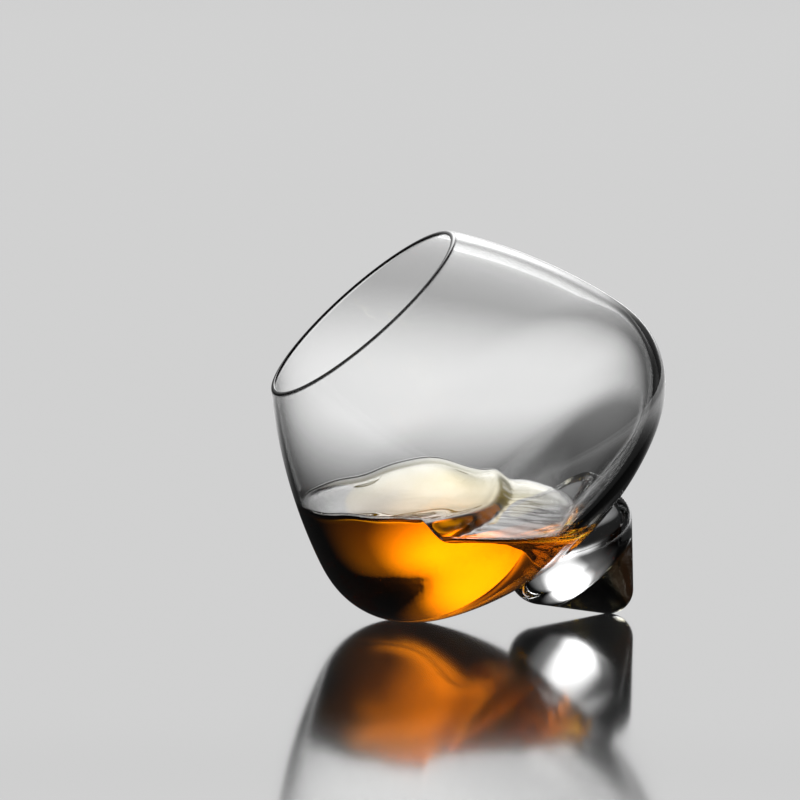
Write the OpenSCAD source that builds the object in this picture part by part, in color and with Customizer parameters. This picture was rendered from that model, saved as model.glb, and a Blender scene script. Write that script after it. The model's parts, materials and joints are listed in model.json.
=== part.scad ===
// A tilting spirit glass: a blown bowl on a solid glass cone.
// It can't stand upright, and lies on the belly of the bowl and on the tip of the cone.
// Profiles are drawn upright, as [radius, height] with the rim's plane at height 0.

/* [Bowl] */
// Widest outer diameter
bowl_d = 90; // [82:1:98]
// Outer diameter at the rim, before its edges are rounded
mouth_d = 52.8; // [46:0.2:60]
// Depth of the widest level below the rim
belly_depth = 43.4; // [38:0.2:50]
// Radius of the outer arc from the rim to the shoulder
wall_r = 120; // [100:1:160]
// Radius of the outer shoulder that the bowl lies on
shoulder_r = 19; // [16:0.5:22]
// Radius of the outer arc across the bottom
bottom_r = 69.5; // [62:0.5:85]

/* [Glass thickness] */
// Wall at the rim
rim_wall = 1.25; // [1.1:0.05:1.6]
// Wall at the widest level
belly_wall = 1.5; // [1.2:0.05:2.2]
// Middle of the bottom
base_wall = 4.6; // [3.6:0.1:6]
// Height of the widest inside level above the widest outside level
inside_rise = 1; // [0.6:0.1:1.6]
// Radius on both edges of the rim
lip_r = 0.35; // [0.2:0.05:0.4]

/* [Foot] */
// Widest diameter
foot_d = 31.8; // [28:0.2:36]
// Height of the foot below the bottom of the bowl
foot_h = 20.6; // [19:0.2:23]
// Angle between the cone's side and its axis
foot_angle = 38.5; // [36:0.5:42]
// Radius of the tip
tip_r = 5.6; // [4:0.2:8]
// Radius of the upper edge
edge_r = 6.6; // [5:0.2:8]
// Gap left at the fused seat under the bowl
seat_gap = 0.02; // [0.01:0.01:0.1]

/* [Drink] */
// Height of the surface over the table, at the middle of the glass
drink_level = 25; // [15:0.5:32]
// Slope of the surface while the drink swirls
swirl_slope = 4.7; // [0:0.1:9]
// Heading of the surface's high side, turned from the foot's side towards the back
swirl_heading = 127; // [0:1:360]
// Gap between the drink and the glass
drink_gap = 0.3; // [0.2:0.05:0.5]

/* [Hidden] */
$fn = 128;
// Points along one arc of a profile
arc_points = 24;

// Outside and inside of the bowl, each as [widest radius, rim radius, widest level, wall arc, shoulder, pole]
bottom_rise = sqrt((bottom_r - shoulder_r) ^ 2 - (bowl_d / 2 - shoulder_r) ^ 2);
bowl_depth = belly_depth - bottom_rise + bottom_r;
outside = [bowl_d / 2, mouth_d / 2, -belly_depth, wall_r, shoulder_r, -bowl_depth];
inside = [
    bowl_d / 2 - belly_wall,
    mouth_d / 2 - rim_wall,
    inside_rise - belly_depth,
    wall_r - belly_wall,
    shoulder_r - inside_rise,
    base_wall - bowl_depth
];

// Centres and radii of a side's three tangent arcs, each as [centre, radius]
function heading(v) = atan2(v[1], v[0]);
function polar(r, a) = r * [cos(a), sin(a)];
function shoulder_arc(side) = [[side[0] - side[4], side[2]], side[4]];
function wall_arc(side) =
    let (
        shoulder = shoulder_arc(side)[0],
        to_rim = [side[1], 0] - shoulder,
        reach = side[3] - side[4],
        opening = acos((reach ^ 2 + to_rim * to_rim - side[3] ^ 2) / (2 * reach * norm(to_rim)))
    )
    [shoulder + polar(reach, heading(to_rim) + opening), side[3]];
function bottom_arc(side) =
    let (
        drop = side[2] - side[5],
        r = ((side[0] - side[4]) ^ 2 + drop ^ 2 - side[4] ^ 2) / (2 * (drop - side[4]))
    )
    [[0, side[5] + r], r];

// Points of an arc from one heading to another, without the first point, on a circle that is drawn in by inset
function arc(circle, from, to, inset = 0) = [
    for (i = [1:arc_points])
        circle[0] + polar(circle[1] - inset, from + (to - from) * i / arc_points)
];
// A side of the bowl from a heading on its wall arc down to its pole
function side_points(side, from, inset = 0) =
    let (
        wall = wall_arc(side),
        shoulder = shoulder_arc(side),
        bottom = bottom_arc(side),
        upper = heading(shoulder[0] - wall[0]),
        lower = heading(shoulder[0] - bottom[0])
    )
    concat(
        arc(wall, from, upper, inset),
        arc(shoulder, upper, lower, inset),
        arc(bottom, lower, -90, inset)
    );

// Rounded edges of the rim: each circle touches the rim's plane and one wall arc
function lip_arc(wall, reach) =
    [[wall[0][0] + sqrt(reach ^ 2 - (wall[0][1] + lip_r) ^ 2), -lip_r], lip_r];
outer_wall = wall_arc(outside);
inner_wall = wall_arc(inside);
outer_lip = lip_arc(outer_wall, outer_wall[1] - lip_r);
inner_lip = lip_arc(inner_wall, inner_wall[1] + lip_r);
outer_start = heading(outer_lip[0] - outer_wall[0]);
inner_start = heading(inner_lip[0] - inner_wall[0]);

// Foot: the circles of its tip and its upper edge, and where that edge meets the seat under the bowl
foot_bottom = -bowl_depth - foot_h;
tip = [[0, foot_bottom + tip_r], tip_r];
apex = tip[0][1] - tip_r / sin(foot_angle);
edge_x = foot_d / 2 - edge_r;
edge = [[edge_x, apex + (edge_x * cos(foot_angle) + edge_r) / sin(foot_angle)], edge_r];
bowl_bottom = bottom_arc(outside);
seat = [bowl_bottom[0], bowl_bottom[1] + seat_gap];
to_edge = edge[0] - seat[0];
seat_turn = acos((seat[1] ^ 2 + to_edge * to_edge - edge_r ^ 2) / (2 * seat[1] * norm(to_edge)));
seam_heading = heading(to_edge) + seat_turn;
seam = seat[0] + polar(seat[1], seam_heading);

// Pose at rest: the angle of the axis over the table, the rim's height and the middle of the glass
belly = shoulder_arc(outside);
rest_line = belly[0] - tip[0];
lean = heading([rest_line[1], rest_line[0]]) + asin((shoulder_r - tip_r) / norm(rest_line));
function rest_x(p) = -p[1] * cos(lean) + p[0] * sin(lean);
function rest_z(p) = p[1] * sin(lean) - p[0] * cos(lean);
rim_h = shoulder_r - rest_z(belly[0]);
left_x = rest_x([-outer_lip[0][0], outer_lip[0][1]]) - lip_r;
right_x = rest_x(belly[0]) + shoulder_r;
middle_x = (left_x + right_x) / 2;
// A block that holds everything under the drink's surface
block = 2 * (bowl_d + bowl_depth);

module at_rest() {
    translate([-middle_x, 0, rim_h])
        rotate([0, lean - 90, 0])
            children();
}

module bowl() {
    outer_points = concat(
        arc(outer_lip, 90, outer_start),
        side_points(outside, outer_start)
    );
    inner_points = concat(
        [inner_lip[0] + [0, lip_r]],
        arc(inner_lip, 90, inner_start + 180),
        side_points(inside, inner_start)
    );
    color("gainsboro")
        at_rest()
            rotate_extrude()
                polygon(concat(
                    [outer_lip[0] + [0, lip_r]],
                    outer_points,
                    [for (i = [len(inner_points) - 1:-1:0]) inner_points[i]]
                ));
}

module foot() {
    color("lightgray")
        at_rest()
            rotate_extrude()
                polygon(concat(
                    [tip[0] - [0, tip_r]],
                    arc(tip, -90, -foot_angle),
                    [edge[0] + polar(edge_r, -foot_angle)],
                    arc(edge, -foot_angle, heading(seam - edge[0])),
                    arc(seat, seam_heading, -90)
                ));
}

module drink() {
    color("orange")
        intersection() {
            at_rest()
                rotate_extrude()
                    polygon(concat(
                        [[0, 0]],
                        side_points(inside, inner_start, drink_gap)
                    ));
            translate([0, 0, drink_level])
                rotate([0, 0, swirl_heading])
                    rotate([0, -swirl_slope, 0])
                        translate([-block / 2, -block / 2, -block])
                            cube(block);
        }
}

bowl();
foot();
drink();
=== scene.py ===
import json
import math
import bpy
import bmesh
from mathutils import Matrix, Vector
from mathutils.bvhtree import BVHTree


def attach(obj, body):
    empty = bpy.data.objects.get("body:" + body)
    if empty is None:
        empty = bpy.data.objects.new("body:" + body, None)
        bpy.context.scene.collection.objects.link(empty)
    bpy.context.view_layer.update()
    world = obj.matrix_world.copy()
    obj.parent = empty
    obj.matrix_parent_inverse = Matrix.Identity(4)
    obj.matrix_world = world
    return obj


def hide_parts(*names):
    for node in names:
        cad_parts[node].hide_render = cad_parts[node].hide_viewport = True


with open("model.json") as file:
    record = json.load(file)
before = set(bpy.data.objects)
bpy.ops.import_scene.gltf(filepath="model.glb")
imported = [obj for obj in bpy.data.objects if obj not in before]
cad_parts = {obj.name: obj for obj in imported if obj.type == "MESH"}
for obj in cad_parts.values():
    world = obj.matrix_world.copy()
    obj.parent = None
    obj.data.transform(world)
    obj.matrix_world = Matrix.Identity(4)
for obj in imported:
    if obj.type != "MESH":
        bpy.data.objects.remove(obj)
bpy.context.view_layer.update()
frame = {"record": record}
mm = 0.001

# The drink swirls about the glass's own axis, so that joint gives the rim's centre and the lean
swirl = frame["record"]["behaviour"]["joints"][0]
rimCentre = Vector(swirl["pos_m"])
axisUp = Vector(swirl["axis"])
lean = math.atan2(axisUp.x, axisUp.z)
restPose = Matrix.Translation(rimCentre) @ Matrix.Rotation(lean, 4, "Y")
toGlass = restPose.inverted()
print("frame loaded, lean", round(math.degrees(lean), 2))

# Sizes of the glass in millimetres, as in the CAD model apart from the rounds on the rim
bowlSizes = {
    "widest": 90.0,
    "mouth": 52.8,
    "bellyDepth": 43.4,
    "wallArc": 120.0,
    "shoulder": 19.0,
    "bottomArc": 69.5,
    "rimWall": 1.25,
    "bellyWall": 1.5,
    "baseWall": 4.6,
    "insideRise": 1.0,
    "innerLip": 0.2,  # rounds on the two edges of the rim
    "outerLip": 0.9,
    "ease": 12.0,  # length over which one arc's curvature turns into the next one's
    "step": 0.8,  # between the points of a profile
    "turns": 192,
    "lipSteps": (12, 8),  # outer and inner
}
footSizes = {
    "widest": 31.8,
    "height": 20.6,
    "coneAngle": 38.5,
    "tip": 5.6,
    "edge": 6.6,
    "seatGap": 0.02,  # between the seat and the bowl
    "turns": 160,
    "arcSteps": (24, 28, 20),  # tip, upper edge and seat
}
mergeDistance = 2e-6


def heading(point):
    return math.atan2(point[1], point[0])


def polar(radius, angle):
    return Vector((radius * math.cos(angle), radius * math.sin(angle)))


def sideArcs(widest, rim, belly, wall, shoulder, pole):
    # Three arcs, each touching the next, as (centre, radius) with the rim's plane at height 0
    shoulderCentre = Vector((widest - shoulder, belly))
    toRim = Vector((rim, 0)) - shoulderCentre
    reach = wall - shoulder
    opening = math.acos((reach ** 2 + toRim.length_squared - wall ** 2) / (2 * reach * toRim.length))
    wallCentre = shoulderCentre + polar(reach, heading(toRim) + opening)
    drop = belly - pole
    bottom = ((widest - shoulder) ** 2 + drop ** 2 - shoulder ** 2) / (2 * (drop - shoulder))
    return {
        "wall": (wallCentre, wall),
        "shoulder": (shoulderCentre, shoulder),
        "bottom": (Vector((0, pole + bottom)), bottom),
        "upper": heading(shoulderCentre - wallCentre),
        "lower": heading(shoulderCentre - Vector((0, pole + bottom))),
    }


def lipCentre(wall, reach, lip):
    return Vector((wall[0].x + math.sqrt(reach ** 2 - (wall[0].y + lip) ** 2), -lip))


bowl = {key: value * mm for key, value in bowlSizes.items() if key not in ("turns", "lipSteps")}
outerRadius = bowl["widest"] / 2
bottomRise = math.sqrt((bowl["bottomArc"] - bowl["shoulder"]) ** 2 - (outerRadius - bowl["shoulder"]) ** 2)
bowlDepth = bowl["bellyDepth"] - bottomRise + bowl["bottomArc"]
outside = sideArcs(
    outerRadius, bowl["mouth"] / 2, -bowl["bellyDepth"], bowl["wallArc"], bowl["shoulder"], -bowlDepth
)
inside = sideArcs(
    outerRadius - bowl["bellyWall"],
    bowl["mouth"] / 2 - bowl["rimWall"],
    bowl["insideRise"] - bowl["bellyDepth"],
    bowl["wallArc"] - bowl["bellyWall"],
    bowl["shoulder"] - bowl["insideRise"],
    bowl["baseWall"] - bowlDepth,
)
outerLip = lipCentre(outside["wall"], outside["wall"][1] - bowl["outerLip"], bowl["outerLip"])
innerLip = lipCentre(inside["wall"], inside["wall"][1] + bowl["innerLip"], bowl["innerLip"])


def smoothStep(value):
    value = min(max(value, 0), 1)
    return value * value * (3 - 2 * value)


def sideProfile(side, start):
    # Points and outward normals from a heading on the wall arc down to the pole, with the curvature eased
    turns = (start, side["upper"], side["lower"], -math.pi / 2)
    radii = [side[key][1] for key in ("wall", "shoulder", "bottom")]
    lengths = [radius * (turns[i] - turns[i + 1]) for i, radius in enumerate(radii)]
    joins = (lengths[0], lengths[0] + lengths[1])
    count = round(sum(lengths) / bowl["step"])
    step = sum(lengths) / count
    point = side["wall"][0] + polar(radii[0], start)
    angle = start
    rows = [(point, polar(1, angle))]
    for i in range(count):
        along = (i + 0.5) * step
        curvature = 1 / radii[0]
        for k in (0, 1):
            share = smoothStep((along - joins[k]) / bowl["ease"] + 0.5)
            curvature += share * (1 / radii[k + 1] - 1 / radii[k])
        angle -= curvature * step
        point = point + polar(step, angle + curvature * step / 2 - math.pi / 2)
        rows.append((point, polar(1, angle)))
    drift = Vector((0, side["bottom"][0].y - radii[2])) - point
    return [(place + drift * (i / count), normal) for i, (place, normal) in enumerate(rows)]


outerSide = sideProfile(outside, heading(outerLip - outside["wall"][0]))
innerSide = sideProfile(inside, heading(innerLip - inside["wall"][0]))


# Modelling helpers: a profile grows in the XZ plane from its last point, by arcs and by lines
def startProfile(bm, point):
    return bm.verts.new((point.x, 0, point.y))


def sweepArc(bm, vert, centre, toHeading, steps):
    fromHeading = heading((vert.co.x - centre.x, vert.co.z - centre.y))
    turned = bmesh.ops.spin(
        bm, geom=[vert], cent=(centre.x, 0, centre.y), axis=(0, -1, 0),
        angle=toHeading - fromHeading, steps=steps,
    )
    return turned["geom_last"][0]


def lineTo(bm, vert, point):
    end = startProfile(bm, point)
    bm.edges.new((vert, end))
    return end


def followSide(bm, vert, side, offset=0.0):
    for point, normal in side:
        vert = lineTo(bm, vert, point + normal * offset)


def spinRound(bm, turns):
    bmesh.ops.spin(
        bm, geom=bm.verts[:] + bm.edges[:], cent=(0, 0, 0), axis=(0, 0, 1),
        angle=math.tau, steps=turns, use_merge=True,
    )
    bmesh.ops.remove_doubles(bm, verts=bm.verts[:], dist=mergeDistance)
    bmesh.ops.recalc_face_normals(bm, faces=bm.faces[:])


def makePiece(bm, name, material, sharpAngle=40):
    for face in bm.faces:
        face.smooth = True
    mesh = bpy.data.meshes.new(name)
    bm.to_mesh(mesh)
    bm.free()
    mesh.set_sharp_from_angle(angle=math.radians(sharpAngle))
    piece = bpy.data.objects.new(name, mesh)
    bpy.context.collection.objects.link(piece)
    mesh.materials.append(material)
    return piece


# Materials
def findNode(tree, kind):
    return next(node for node in tree.nodes if node.type == kind)


def clearMaterial(name, ior):
    material = bpy.data.materials.new(name)
    material.use_nodes = True
    tree = material.node_tree
    shader = findNode(tree, "BSDF_PRINCIPLED")
    shader.inputs["Transmission Weight"].default_value = 1
    shader.inputs["IOR"].default_value = ior
    shader.inputs["Roughness"].default_value = 0
    return material, tree, shader


def calculate(tree, operation, *values):
    node = tree.nodes.new("ShaderNodeMath")
    node.operation = operation
    for socket, value in zip(node.inputs, values):
        if isinstance(value, (int, float)):
            socket.default_value = value
        else:
            tree.links.new(value, socket)
    return node.outputs["Value"]


def mapRange(tree, value, fromRange, toRange):
    node = tree.nodes.new("ShaderNodeMapRange")
    node.interpolation_type = "SMOOTHSTEP"
    node.inputs["From Min"].default_value, node.inputs["From Max"].default_value = fromRange
    node.inputs["To Min"].default_value, node.inputs["To Max"].default_value = toRange
    tree.links.new(value, node.inputs["Value"])
    return node.outputs["Result"]


def mapDegrees(tree, value, fromRange, toRange):
    return mapRange(tree, value, [math.radians(angle) for angle in fromRange], toRange)


def mixValues(tree, factor, first, second):
    node = tree.nodes.new("ShaderNodeMix")
    node.data_type = "FLOAT"
    for name, value in (("Factor", factor), ("A", first), ("B", second)):
        if isinstance(value, (int, float)):
            node.inputs[name].default_value = value
        else:
            tree.links.new(value, node.inputs[name])
    return node.outputs["Result"]


def mixColours(tree, factor, first, second):
    node = tree.nodes.new("ShaderNodeMix")
    node.data_type = "RGBA"
    tree.links.new(factor, node.inputs[0])
    # Sockets 6 and 7 and result 2 are the ones for colours
    for socket, value in ((node.inputs[6], first), (node.inputs[7], second)):
        if isinstance(value, tuple):
            socket.default_value = value
        else:
            tree.links.new(value, socket)
    return node.outputs[2]


def dotWith(tree, vector, direction):
    node = tree.nodes.new("ShaderNodeVectorMath")
    node.operation = "DOT_PRODUCT"
    node.inputs[1].default_value = direction
    tree.links.new(vector, node.inputs[0])
    return node.outputs["Value"]


# Skin of the glass and of the drink: faint clouds of tint, and long shallow waves
skinLook = {"cloudDetail": 3, "waveDetail": 1, "waveDistortion": 0.6}


def makeSkin():
    group = bpy.data.node_groups.new("blownSkin", "ShaderNodeTree")
    for name, kind in (("Place", "Vector"), ("Scale", "Float"), ("Pale", "Color"), ("Deep", "Color")):
        group.interface.new_socket(name, in_out="INPUT", socket_type="NodeSocket" + kind)
    for name, kind in (("Tint", "Color"), ("Waves", "Float")):
        group.interface.new_socket(name, in_out="OUTPUT", socket_type="NodeSocket" + kind)
    start = group.nodes.new("NodeGroupInput")
    end = group.nodes.new("NodeGroupOutput")
    clouds = group.nodes.new("ShaderNodeTexNoise")
    clouds.inputs["Detail"].default_value = skinLook["cloudDetail"]
    waves = group.nodes.new("ShaderNodeTexNoise")
    waves.inputs["Detail"].default_value = skinLook["waveDetail"]
    waves.inputs["Distortion"].default_value = skinLook["waveDistortion"]
    for noise in (clouds, waves):
        group.links.new(start.outputs["Place"], noise.inputs["Vector"])
        group.links.new(start.outputs["Scale"], noise.inputs["Scale"])
    tint = mixColours(group, clouds.outputs["Fac"], start.outputs["Pale"], start.outputs["Deep"])
    group.links.new(tint, end.inputs["Tint"])
    group.links.new(waves.outputs["Fac"], end.inputs["Waves"])
    return group


skinGroup = makeSkin()


def addSkin(tree, shader, look):
    # The pattern lies in the glass's own frame and is drawn out along its axis
    place = tree.nodes.new("ShaderNodeTexCoord")
    turned = tree.nodes.new("ShaderNodeMapping")
    turned.vector_type = "TEXTURE"
    turned.inputs["Location"].default_value = rimCentre
    turned.inputs["Rotation"].default_value = (0, lean, 0)
    turned.inputs["Scale"].default_value = (1, 1, look["stretch"])
    tree.links.new(place.outputs["Object"], turned.inputs["Vector"])
    skin = tree.nodes.new("ShaderNodeGroup")
    skin.node_tree = skinGroup
    skin.inputs["Scale"].default_value = look["scale"]
    skin.inputs["Pale"].default_value = look["pale"]
    skin.inputs["Deep"].default_value = look["deep"]
    tree.links.new(turned.outputs["Vector"], skin.inputs["Place"])
    tree.links.new(skin.outputs["Tint"], shader.inputs["Base Color"])
    bump = tree.nodes.new("ShaderNodeBump")
    bump.inputs["Strength"].default_value = look["wave"]
    bump.inputs["Distance"].default_value = look["waveDepth"]
    tree.links.new(skin.outputs["Waves"], bump.inputs["Height"])
    tree.links.new(bump.outputs["Normal"], shader.inputs["Normal"])


bowlLook = {
    "pale": (0.996, 0.997, 0.996, 1),
    "deep": (0.988, 0.99, 0.988, 1),
    "ior": 1.5,
    "scale": 60.0,
    "stretch": 2.5,
    "wave": 0.012,
    "waveDepth": 0.001,
    "rimPaintedShade": (0.003, 0.003, 0.003, 1),  # painted shade: the narrow edge of the rim is tinted nearly black
    "rimLevels": (-0.65, -0.3),  # millimetres from the rim's plane where the painted shade starts and is full
}
footLook = {
    "pale": (0.997, 0.998, 0.998, 1),
    "deep": (0.99, 0.992, 0.991, 1),
    "ior": 1.5,
    "scale": 140.0,
    "stretch": 3.0,
    "wave": 0.06,
    "waveDepth": 0.001,
}


def clearGlass(name, look):
    material, tree, shader = clearMaterial(name, look["ior"])
    addSkin(tree, shader, look)
    return material


# Painted shade: a near-black tint over the rim's narrow edge, so that it shows as a dark line
def paintRimShade(material, look):
    tree = material.node_tree
    colour = findNode(tree, "BSDF_PRINCIPLED").inputs["Base Color"]
    height = dotWith(tree, tree.nodes.new("ShaderNodeTexCoord").outputs["Object"], axisUp)
    levels = [rimCentre.dot(axisUp) + level * mm for level in look["rimLevels"]]
    edge = mapRange(tree, height, levels, (0, 1))
    tree.links.new(mixColours(tree, edge, colour.links[0].from_socket, look["rimPaintedShade"]), colour)
    return material


drinkLook = {
    "pale": (1, 1, 1, 1),
    "deep": (0.985, 0.98, 0.965, 1),
    "ior": 1.36,
    "absorbs": (0.986, 0.825, 0.02, 1),
    "density": 130.0,
    "scale": 260.0,
    "stretch": 1.0,
    "wave": 0.005,
    "waveDepth": 0.001,
}


def amberSpirit():
    material, tree, shader = clearMaterial("amberSpirit", drinkLook["ior"])
    addSkin(tree, shader, drinkLook)
    absorption = tree.nodes.new("ShaderNodeVolumeAbsorption")
    absorption.inputs["Color"].default_value = drinkLook["absorbs"]
    absorption.inputs["Density"].default_value = drinkLook["density"]
    tree.links.new(absorption.outputs["Volume"], findNode(tree, "OUTPUT_MATERIAL").inputs["Volume"])
    return material


# Bowl: one closed shell, from the top of the rim down the outside and down the inside, each to its pole
def makeBowl():
    outerSteps, innerSteps = bowlSizes["lipSteps"]
    bm = bmesh.new()
    outerTop = startProfile(bm, outerLip + Vector((0, bowl["outerLip"])))
    vert = sweepArc(bm, outerTop, outerLip, heading(outerLip - outside["wall"][0]), outerSteps)
    followSide(bm, vert, outerSide[1:])
    innerTop = startProfile(bm, innerLip + Vector((0, bowl["innerLip"])))
    vert = sweepArc(bm, innerTop, innerLip, heading(innerLip - inside["wall"][0]) + math.pi, innerSteps)
    followSide(bm, vert, innerSide[1:])
    bm.edges.new((outerTop, innerTop))
    spinRound(bm, bowlSizes["turns"])
    bmesh.ops.transform(bm, matrix=restPose, verts=bm.verts[:])
    material = paintRimShade(clearGlass("bowlGlass", bowlLook), bowlLook)
    piece = makePiece(bm, "bowlGlass", material)
    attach(piece, "glass")
    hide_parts("bowl")
    print("bowl made", len(piece.data.polygons))


# Foot: tip, cone, rounded upper edge, and a seat that follows the bowl's bottom
def makeFoot():
    notLengths = ("coneAngle", "turns", "arcSteps")
    foot = {key: value * mm for key, value in footSizes.items() if key not in notLengths}
    tipSteps, edgeSteps, seatSteps = footSizes["arcSteps"]
    cone = math.radians(footSizes["coneAngle"])
    tipCentre = Vector((0, -bowlDepth - foot["height"] + foot["tip"]))
    apex = tipCentre.y - foot["tip"] / math.sin(cone)
    edgeX = foot["widest"] / 2 - foot["edge"]
    edgeCentre = Vector((edgeX, apex + (edgeX * math.cos(cone) + foot["edge"]) / math.sin(cone)))
    seatCentre = outside["bottom"][0]
    seatRadius = outside["bottom"][1] + foot["seatGap"]
    toEdge = edgeCentre - seatCentre
    turn = math.acos(
        (seatRadius ** 2 + toEdge.length_squared - foot["edge"] ** 2) / (2 * seatRadius * toEdge.length)
    )
    seam = seatCentre + polar(seatRadius, heading(toEdge) + turn)
    bm = bmesh.new()
    vert = startProfile(bm, tipCentre - Vector((0, foot["tip"])))
    vert = sweepArc(bm, vert, tipCentre, -cone, tipSteps)
    vert = lineTo(bm, vert, edgeCentre + polar(foot["edge"], -cone))
    vert = sweepArc(bm, vert, edgeCentre, heading(seam - edgeCentre), edgeSteps)
    sweepArc(bm, vert, seatCentre, -math.pi / 2, seatSteps)
    spinRound(bm, footSizes["turns"])
    bmesh.ops.transform(bm, matrix=restPose, verts=bm.verts[:])
    piece = makePiece(bm, "footGlass", clearGlass("footGlass", footLook))
    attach(piece, "glass")
    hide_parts("foot")
    print("foot made", len(piece.data.polygons))


# Drink: what the inside of the bowl holds under a moving surface, with a low wet film over its edge
# Sizes in millimetres
drinkSizes = {
    "overlap": 0.1,  # the drink reaches this far into the wall, so that no air shows between them
    "middle": (-8.0, 0.0),  # of the rings of points
    "core": 14.0,  # height of a point inside the drink that all of its wall can be seen from
    "level": 23.84,
    "rise": 0.042,  # slope towards the back
    "crest": 3.1,
    "crestAt": (1.0, 43.0),
    "crestSpread": (11.0, 20.0),
    "lobe": 3.3,  # a higher part at the left, with a round edge
    "lobeBack": 0.9,
    "lobeFront": (2.0, -35.0),  # places along Y between which the lobe grows to its full height
    "lobeCentre": (-100.0, 50.0),
    "lobeRadius": 119.0,
    "lobeEdge": 4.5,
    "curl": 0.4,  # the lobe's edge curls up before it falls
    "curlAway": 2.0,
    "curlWidth": 1.8,
    "swell": 0.15,
    "swellLength": 13.0,
    "swellTurn": 0.05,  # radians that the swells shift for each millimetre towards the back
    "chop": 0.16,
    "chopLength": 6.5,
    "chopAlong": (0.8, 0.6),
    "chopCalm": 7.0,  # the chop dies away this close to the wall
    "meniscus": 1.1,
    "meniscusReach": 1.2,
    "film": 0.05,  # thickness of the wet film over the contact line
    "filmRise": 0.6,
    "filmBend": 6,  # the higher, the later the film turns into the wall
    "turns": 400,
    "rings": 80,
    "ringPull": 1.5,  # rings crowd towards the wall
    "filmRings": 8,
    "wallRings": 60,
    "halvings": 24,
}
innerStep = (innerSide[1][0] - innerSide[0][0]).length


def makeCavity(offset):
    # The inside of the bowl, drawn out into the wall, as something to measure against
    bm = bmesh.new()
    followSide(bm, startProfile(bm, innerSide[0][0] + innerSide[0][1] * offset), innerSide[1:], offset)
    spinRound(bm, bowlSizes["turns"])
    bmesh.ops.transform(bm, matrix=restPose, verts=bm.verts[:])
    cavity = BVHTree.FromBMesh(bm)
    bm.free()
    return cavity


innerWall = makeCavity(0)


def profilePlace(point):
    # Distance from the inner pole along the profile, for a point near the wall
    local = toGlass @ point
    flat = Vector((math.hypot(local.x, local.y), local.z))
    nearest = min(range(len(innerSide)), key=lambda i: (innerSide[i][0] - flat).length_squared)
    row, normal = innerSide[nearest]
    along = (flat - row).dot(Vector((normal.y, -normal.x)))
    return (len(innerSide) - 1 - nearest) * innerStep - along


def wallGap(point):
    # Distance from a point to the inner wall, less than 0 for a point in the glass
    place, _, _, distance = innerWall.find_nearest(point)
    local = toGlass @ place
    outward = restPose.to_3x3() @ Vector((local.x, local.y, local.z + bowl["bellyDepth"]))
    return -distance if (point - place).dot(outward) > 0 else distance


def onWall(turn, back, inward):
    # A point at an angle about the glass's axis, at a distance from the inner pole and inside the wall
    place = len(innerSide) - 1 - back / innerStep
    i = min(max(int(place), 0), len(innerSide) - 2)
    row = innerSide[i][0].lerp(innerSide[i + 1][0], place - i)
    flat = row - innerSide[i][1].lerp(innerSide[i + 1][1], place - i) * inward
    return restPose @ Vector((flat.x * math.cos(turn), flat.x * math.sin(turn), flat.y))


def surfaceHeight(x, y):
    drink = drinkSizes
    x, y = x / mm, y / mm
    height = drink["level"] + drink["rise"] * y
    dx = (x - drink["crestAt"][0]) / drink["crestSpread"][0]
    dy = (y - drink["crestAt"][1]) / drink["crestSpread"][1]
    height += drink["crest"] * math.exp(-dx * dx - dy * dy)
    past = math.hypot(x - drink["lobeCentre"][0], y - drink["lobeCentre"][1]) - drink["lobeRadius"]
    front = smoothStep((drink["lobeFront"][0] - y) / (drink["lobeFront"][0] - drink["lobeFront"][1]))
    lobe = drink["lobeBack"] + (drink["lobe"] - drink["lobeBack"]) * front
    low = smoothStep(0.5 + past / drink["lobeEdge"])
    height += lobe * (1 - low)
    for side in (-1, 1):
        aside = (past - side * drink["curlAway"]) / drink["curlWidth"]
        height -= side * drink["curl"] * math.exp(-aside ** 2)
    # Long swells follow the lobe's edge, and a shorter chop crosses the low part
    phase = math.tau * past / drink["swellLength"] + drink["swellTurn"] * y
    height += drink["swell"] * (1 - low) * math.sin(phase)
    gap = max(wallGap(Vector((x, y, height)) * mm), 0) / mm
    along = drink["chopAlong"][0] * x + drink["chopAlong"][1] * y
    across = math.sin(math.tau * along / drink["chopLength"])
    across += math.sin(math.tau * past / drink["chopLength"])
    height += drink["chop"] * low * across / 2 * (1 - math.exp(-gap / drink["chopCalm"]))
    height += drink["meniscus"] * math.exp(-gap / drink["meniscusReach"])
    return height * mm


def surfacePoint(turn, reach):
    x = drinkSizes["middle"][0] * mm + reach * math.cos(turn)
    y = drinkSizes["middle"][1] * mm + reach * math.sin(turn)
    return Vector((x, y, surfaceHeight(x, y)))


def filmThickness(share):
    # From the film's foot, share 0, to its upper edge, where it ends in the wall
    drink = drinkSizes
    return (drink["film"] * (1 - share) - drink["overlap"] * share ** drink["filmBend"]) * mm


def contactReach(turn):
    # How far the surface goes in one direction before it meets the film on the wall, by halving
    near, far = 0.0, bowl["widest"]
    thick = filmThickness(0)
    for _ in range(drinkSizes["halvings"]):
        reach = (near + far) / 2
        if wallGap(surfacePoint(turn, reach)) > thick:
            near = reach
        else:
            far = reach
    return near


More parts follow.
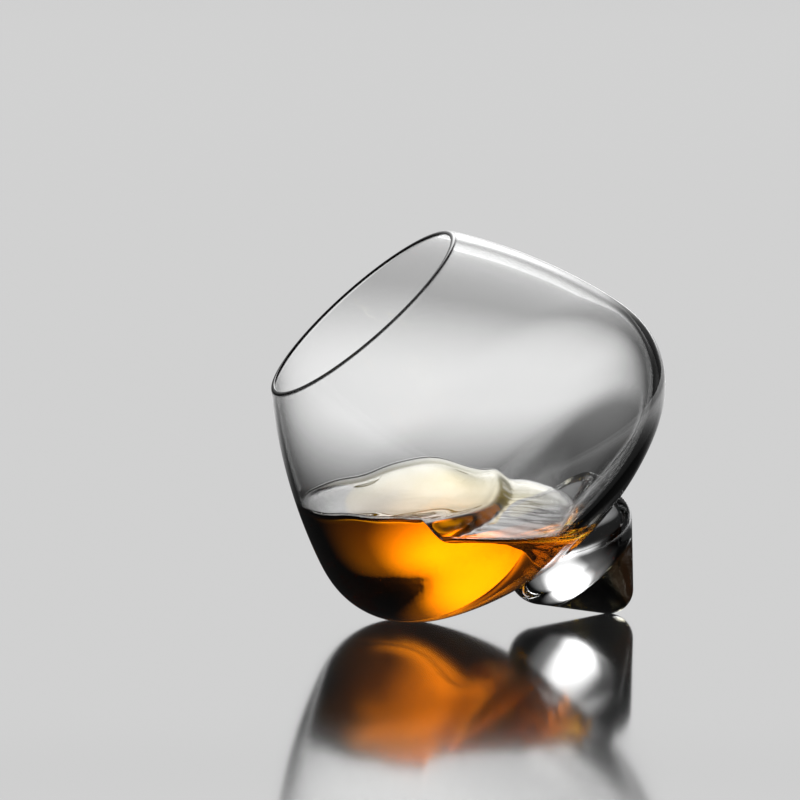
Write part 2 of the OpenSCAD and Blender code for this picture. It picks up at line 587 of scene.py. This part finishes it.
def drinkRings():
    # Rings of points: out over the surface, up and over the film, and down the wall to the bottom
    drink = drinkSizes
    turns = [math.tau * i / drink["turns"] for i in range(drink["turns"])]
    reaches = [contactReach(turn) for turn in turns]
    rings = []
    for ring in range(drink["rings"] + 1):
        share = 1 - (1 - ring / drink["rings"]) ** drink["ringPull"]
        rings.append([surfacePoint(turn, share * reach) for turn, reach in zip(turns, reaches)])
    feet = [profilePlace(point) for point in rings[-1]]
    abouts = [heading((toGlass @ point).xy) for point in rings[-1]]
    overlap = drink["overlap"] * mm
    rise = drink["filmRise"] * mm
    for ring in range(1, drink["filmRings"] + 1):
        share = ring / drink["filmRings"]
        thick = filmThickness(share)
        rings.append([onWall(about, foot + share * rise, thick) for about, foot in zip(abouts, feet)])
    rings.append([onWall(about, foot, -overlap) for about, foot in zip(abouts, feet)])
    core = Vector((drink["middle"][0], drink["middle"][1], drink["core"])) * mm
    down = Vector((0, 0, -1))
    cavity = makeCavity(overlap)
    contact = [(point - core).normalized() for point in rings[-1]]
    for ring in range(1, drink["wallRings"] + 1):
        share = ring / drink["wallRings"]
        rings.append([cavity.ray_cast(core, direction.slerp(down, share))[0] for direction in contact])
    return rings


def makeDrink():
    rings = drinkRings()
    turns = drinkSizes["turns"]
    bm = bmesh.new()
    bmesh.ops.create_grid(bm, x_segments=turns, y_segments=len(rings) - 1, size=1)
    for i, vert in enumerate(bm.verts):
        ring, turn = divmod(i, turns + 1)
        vert.co = rings[ring][turn % turns]
    bmesh.ops.remove_doubles(bm, verts=bm.verts[:], dist=mergeDistance)
    bmesh.ops.recalc_face_normals(bm, faces=bm.faces[:])
    piece = makePiece(bm, "drinkSpirit", amberSpirit())
    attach(piece, "drink")
    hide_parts("drink")
    print("drink made", len(piece.data.polygons))


makeBowl()
makeFoot()
makeDrink()

# Camera at the photograph's viewing angle
cameraSettings = {
    "place": (-0.2854, -1.1074, 0.1689),
    "along": (0.23572, 0.96618, -0.10453),
    "focal": 5210.0,  # in pixels
    "picture": 800,
    "sensor": 36.0,
    "clip": (0.01, 50),
}


def makeCamera():
    camera = bpy.data.cameras.new("photoCamera")
    camera.sensor_width = cameraSettings["sensor"]
    camera.lens = cameraSettings["focal"] * camera.sensor_width / cameraSettings["picture"]
    camera.clip_start, camera.clip_end = cameraSettings["clip"]
    cameraObject = bpy.data.objects.new("photoCamera", camera)
    bpy.context.collection.objects.link(cameraObject)
    cameraObject.location = cameraSettings["place"]
    cameraObject.rotation_euler = Vector(cameraSettings["along"]).to_track_quat("-Z", "Y").to_euler()
    bpy.context.scene.camera = cameraObject


# Stage: a pale polished floor, one leaning softbox behind the glass, and dark screens at both sides of it
stageLook = {
    "floorSize": 14.0,
    "floorRoughness": 0.08,
    "floorIor": 1.5,
    "pale": 0.64,  # floor and background as the camera sees them
    "dark": 0.015,
    "cameraPale": (0.36, 0.41),  # mirror shares over which the floor stops being pale to the camera
    "glassPale": (0.18, 0.33),  # and to the glass
    "steepPale": (0.16, 0.28),  # below these, up to steepReach, the glass sees it as the camera does
    "steepReach": (0.2, 0.34),
    "mirrorLimit": 0.6,
    "mirrorPale": 1.05,  # the room as the camera sees it in the floor
    "mirrorNear": (0.12, 0.4),
    "mirrorGain": 1.6,
    "mirrorDip": (0.48, 1.0),
    "dipShare": 0.42,
    "mirrorFar": (2.0, 6.0),
    "farShare": 0.12,
    # Painted shadow round the glass: how far it reaches through the glass and for the camera, and how deep
    # it is
    "glassShadowReach": (0.08, 0.32),
    "shadowReach": (0.035, 0.1),
    "shadowDepth": 0.6,
    "screens": (54, 68),  # degrees either side of the camera's heading where the dark screens end
    "noBounce": 0.5,  # depths of rays are whole numbers, so halves part them
    "oneBounce": 1.5,
}
# Angles in degrees: azimuth to the right of the camera's heading, and elevation
softbox = {
    "azimuth": -7,
    "elevation": 28,
    "lean": 0.4,  # degrees to the left for each degree up
    "left": (3, 20),
    "right": (3, 22),
    "narrow": 0.65,  # share of its width that is left at its lower end
    "narrowBelow": (3, 16),
    "glow": 0.115,
    "glowWidth": (10, 41),
    "rise": (5, 28),
    "low": 0.9,
    "high": 4.0,
    "top": (36, 50),
    "horizon": 0.8,  # a lower glow along the horizon
    "horizonHeight": (0.5, 4.5),
    "horizonWidth": (12, 26),
}
# A high softbox at the left, seen only by rays that were turned back inside the glass or the drink
sideSoftbox = {"azimuth": -66, "elevation": 46, "reach": (6, 24), "strength": 3.2}
cameraHeading = math.atan2(cameraSettings["along"][1], cameraSettings["along"][0])


def emptyMaterial(name):
    material = bpy.data.materials.new(name)
    material.use_nodes = True
    tree = material.node_tree
    tree.nodes.clear()
    return material, tree


def bearing(tree, vector):
    # Azimuth of a vector, to the right of the camera's heading
    right = dotWith(tree, vector, (math.sin(cameraHeading), -math.cos(cameraHeading), 0))
    ahead = dotWith(tree, vector, (math.cos(cameraHeading), math.sin(cameraHeading), 0))
    return calculate(tree, "ARCTAN2", right, ahead)


def besideScreens(tree, azimuth):
    return mapDegrees(tree, calculate(tree, "ABSOLUTE", azimuth), stageLook["screens"], (0, 1))


def straightThrough(tree, rays):
    # 1 for a ray that has only been refracted, never turned back
    direct = calculate(tree, "LESS_THAN", rays.outputs["Glossy Depth"], stageLook["noBounce"])
    return calculate(tree, "MULTIPLY", rays.outputs["Is Transmission Ray"], direct)


def floorMaterial():
    # Polished: pale from above and a dark mirror at a grazing angle, with a painted soft shadow round the
    # glass
    stage = stageLook
    material, tree = emptyMaterial("stageFloor")
    output = tree.nodes.new("ShaderNodeOutputMaterial")
    fresnel = tree.nodes.new("ShaderNodeFresnel")
    fresnel.inputs["IOR"].default_value = stage["floorIor"]
    share = fresnel.outputs["Fac"]
    rays = tree.nodes.new("ShaderNodeLightPath")
    place = tree.nodes.new("ShaderNodeTexCoord").outputs["Object"]
    length = tree.nodes.new("ShaderNodeVectorMath")
    length.operation = "LENGTH"
    tree.links.new(place, length.inputs[0])
    away = length.outputs["Value"]
    straight = straightThrough(tree, rays)
    beside = besideScreens(tree, bearing(tree, place))
    closeBy = calculate(
        tree, "MULTIPLY", mapRange(tree, share, stage["steepPale"], (1, 0)),
        mapRange(tree, away, stage["steepReach"], (1, 0)),
    )
    plain = calculate(tree, "MAXIMUM", beside, closeBy)
    likeCamera = calculate(
        tree, "MAXIMUM", rays.outputs["Is Camera Ray"], calculate(tree, "MULTIPLY", straight, plain)
    )
    steep = mapRange(tree, share, stage["cameraPale"], (1, 0))
    matt = calculate(tree, "MULTIPLY", steep, calculate(tree, "SUBTRACT", 1, share))
    # Painted shadow: the sheet darkens towards the glass's place on the floor
    shadow = mapRange(tree, away, stage["shadowReach"], (1 - stage["shadowDepth"], 1))
    cameraPale = calculate(tree, "MULTIPLY", matt, shadow)
    # Through the glass the floor is pale only at steep angles, with painted shade that makes it dark near
    # the glass
    glassPale = calculate(
        tree, "MULTIPLY", mapRange(tree, share, stage["glassPale"], (1, 0)),
        mapRange(tree, away, stage["glassShadowReach"], (0, 1)),
    )
    pale = mixValues(tree, likeCamera, calculate(tree, "MULTIPLY", straight, glassPale), cameraPale)
    sheet = tree.nodes.new("ShaderNodeEmission")
    tree.links.new(mixValues(tree, pale, stage["dark"], stage["pale"]), sheet.inputs["Strength"])
    glossy = tree.nodes.new("ShaderNodeBsdfGlossy")
    glossy.inputs["Color"].default_value = (1, 1, 1, 1)
    glossy.inputs["Roughness"].default_value = stage["floorRoughness"]
    # Through the glass the mirror's strength is painted by distance: none close to the glass, brightest at
    # a middle distance, and dipping before the horizon
    gain = calculate(
        tree, "MULTIPLY", mapRange(tree, away, stage["mirrorNear"], (0, stage["mirrorGain"])),
        calculate(
            tree, "ADD", mapRange(tree, away, stage["mirrorDip"], (1, stage["dipShare"])),
            mapRange(tree, away, stage["mirrorFar"], (0, stage["farShare"])),
        ),
    )
    mirror = mixValues(
        tree, likeCamera, calculate(tree, "MULTIPLY", share, gain),
        mixValues(tree, steep, stage["mirrorLimit"], share),
    )
    both = tree.nodes.new("ShaderNodeMixShader")
    tree.links.new(mirror, both.inputs["Fac"])
    tree.links.new(sheet.outputs[0], both.inputs[1])
    tree.links.new(glossy.outputs[0], both.inputs[2])
    tree.links.new(both.outputs[0], output.inputs["Surface"])
    return material


def makeFloor():
    bm = bmesh.new()
    bmesh.ops.create_grid(bm, x_segments=1, y_segments=1, size=stageLook["floorSize"] / 2)
    makePiece(bm, "floorSheet", floorMaterial())


def softboxLight(tree, azimuth, elevation):
    # A strip that leans to the left, brighter towards its top, with soft sides and a faint glow round it
    strip = softbox
    middle = math.radians(strip["azimuth"] + strip["lean"] * strip["elevation"])
    leaning = calculate(tree, "MULTIPLY_ADD", elevation, strip["lean"], -middle)
    offset = calculate(tree, "ADD", azimuth, leaning)
    width = mapDegrees(tree, elevation, strip["narrowBelow"], (strip["narrow"], 1))
    narrowed = calculate(tree, "DIVIDE", offset, width)
    mirrored = calculate(tree, "MULTIPLY", narrowed, -1)
    across = calculate(
        tree, "MULTIPLY", mapDegrees(tree, narrowed, strip["right"], (1, 0)),
        mapDegrees(tree, mirrored, strip["left"], (1, 0)),
    )
    aside = calculate(tree, "ABSOLUTE", offset)
    across = calculate(tree, "ADD", across, mapDegrees(tree, aside, strip["glowWidth"], (strip["glow"], 0)))
    upward = calculate(
        tree, "MULTIPLY", mapDegrees(tree, elevation, strip["rise"], (strip["low"], strip["high"])),
        mapDegrees(tree, elevation, strip["top"], (1, 0)),
    )
    low = calculate(
        tree, "MULTIPLY", mapDegrees(tree, elevation, strip["horizonHeight"], (strip["horizon"], 0)),
        mapDegrees(tree, calculate(tree, "ABSOLUTE", azimuth), strip["horizonWidth"], (1, 0)),
    )
    return calculate(tree, "ADD", calculate(tree, "MULTIPLY", across, upward), low)


def sideLight(tree, direction):
    turn = cameraHeading - math.radians(sideSoftbox["azimuth"])
    rise = math.radians(sideSoftbox["elevation"])
    middle = (math.cos(turn) * math.cos(rise), math.sin(turn) * math.cos(rise), math.sin(rise))
    away = calculate(tree, "ARCCOSINE", dotWith(tree, direction, middle))
    return mapDegrees(tree, away, sideSoftbox["reach"], (sideSoftbox["strength"], 0))


def makeRoom():
    # The camera sees a plain pale room, also in the floor, and so does the glass beside the screens
    stage = stageLook
    world = bpy.data.worlds.new("room")
    world.use_nodes = True
    world.cycles.sampling_method = "NONE"  # every surface here is a mirror or clear
    bpy.context.scene.world = world
    tree = world.node_tree
    background = findNode(tree, "BACKGROUND")
    background.inputs["Color"].default_value = (1, 1, 1, 1)
    direction = tree.nodes.new("ShaderNodeTexCoord").outputs["Generated"]
    azimuth = bearing(tree, direction)
    beside = besideScreens(tree, azimuth)
    elevation = calculate(tree, "ARCSINE", dotWith(tree, direction, (0, 0, 1)))
    rays = tree.nodes.new("ShaderNodeLightPath")
    straight = straightThrough(tree, rays)
    turnedBack = calculate(tree, "SUBTRACT", rays.outputs["Is Transmission Ray"], straight)
    room = calculate(tree, "MULTIPLY", calculate(tree, "MULTIPLY", straight, beside), stage["pale"])
    light = calculate(tree, "ADD", softboxLight(tree, azimuth, elevation), room)
    fromSide = calculate(tree, "MULTIPLY", turnedBack, sideLight(tree, direction))
    light = calculate(tree, "ADD", light, fromSide)
    outOfGlass = calculate(tree, "LESS_THAN", rays.outputs["Transmission Depth"], stage["noBounce"])
    blurred = calculate(tree, "SUBTRACT", rays.outputs["Is Glossy Ray"], rays.outputs["Is Singular Ray"])
    once = calculate(tree, "LESS_THAN", rays.outputs["Glossy Depth"], stage["oneBounce"])
    plain = calculate(tree, "MAXIMUM", outOfGlass, calculate(tree, "MULTIPLY", once, beside))
    inFloor = calculate(tree, "MULTIPLY", plain, calculate(tree, "MAXIMUM", blurred, 0))
    seen = mixValues(tree, inFloor, light, stage["mirrorPale"])
    seen = mixValues(tree, rays.outputs["Is Camera Ray"], seen, stage["pale"])
    tree.links.new(seen, background.inputs["Strength"])


makeCamera()
makeFloor()
makeRoom()
print("camera and stage made")

scene = bpy.context.scene
scene.view_settings.view_transform = "Standard"
scene.cycles.use_denoising = True
scene.cycles.max_bounces = 24
scene.cycles.transmission_bounces = 24
scene.cycles.glossy_bounces = 12
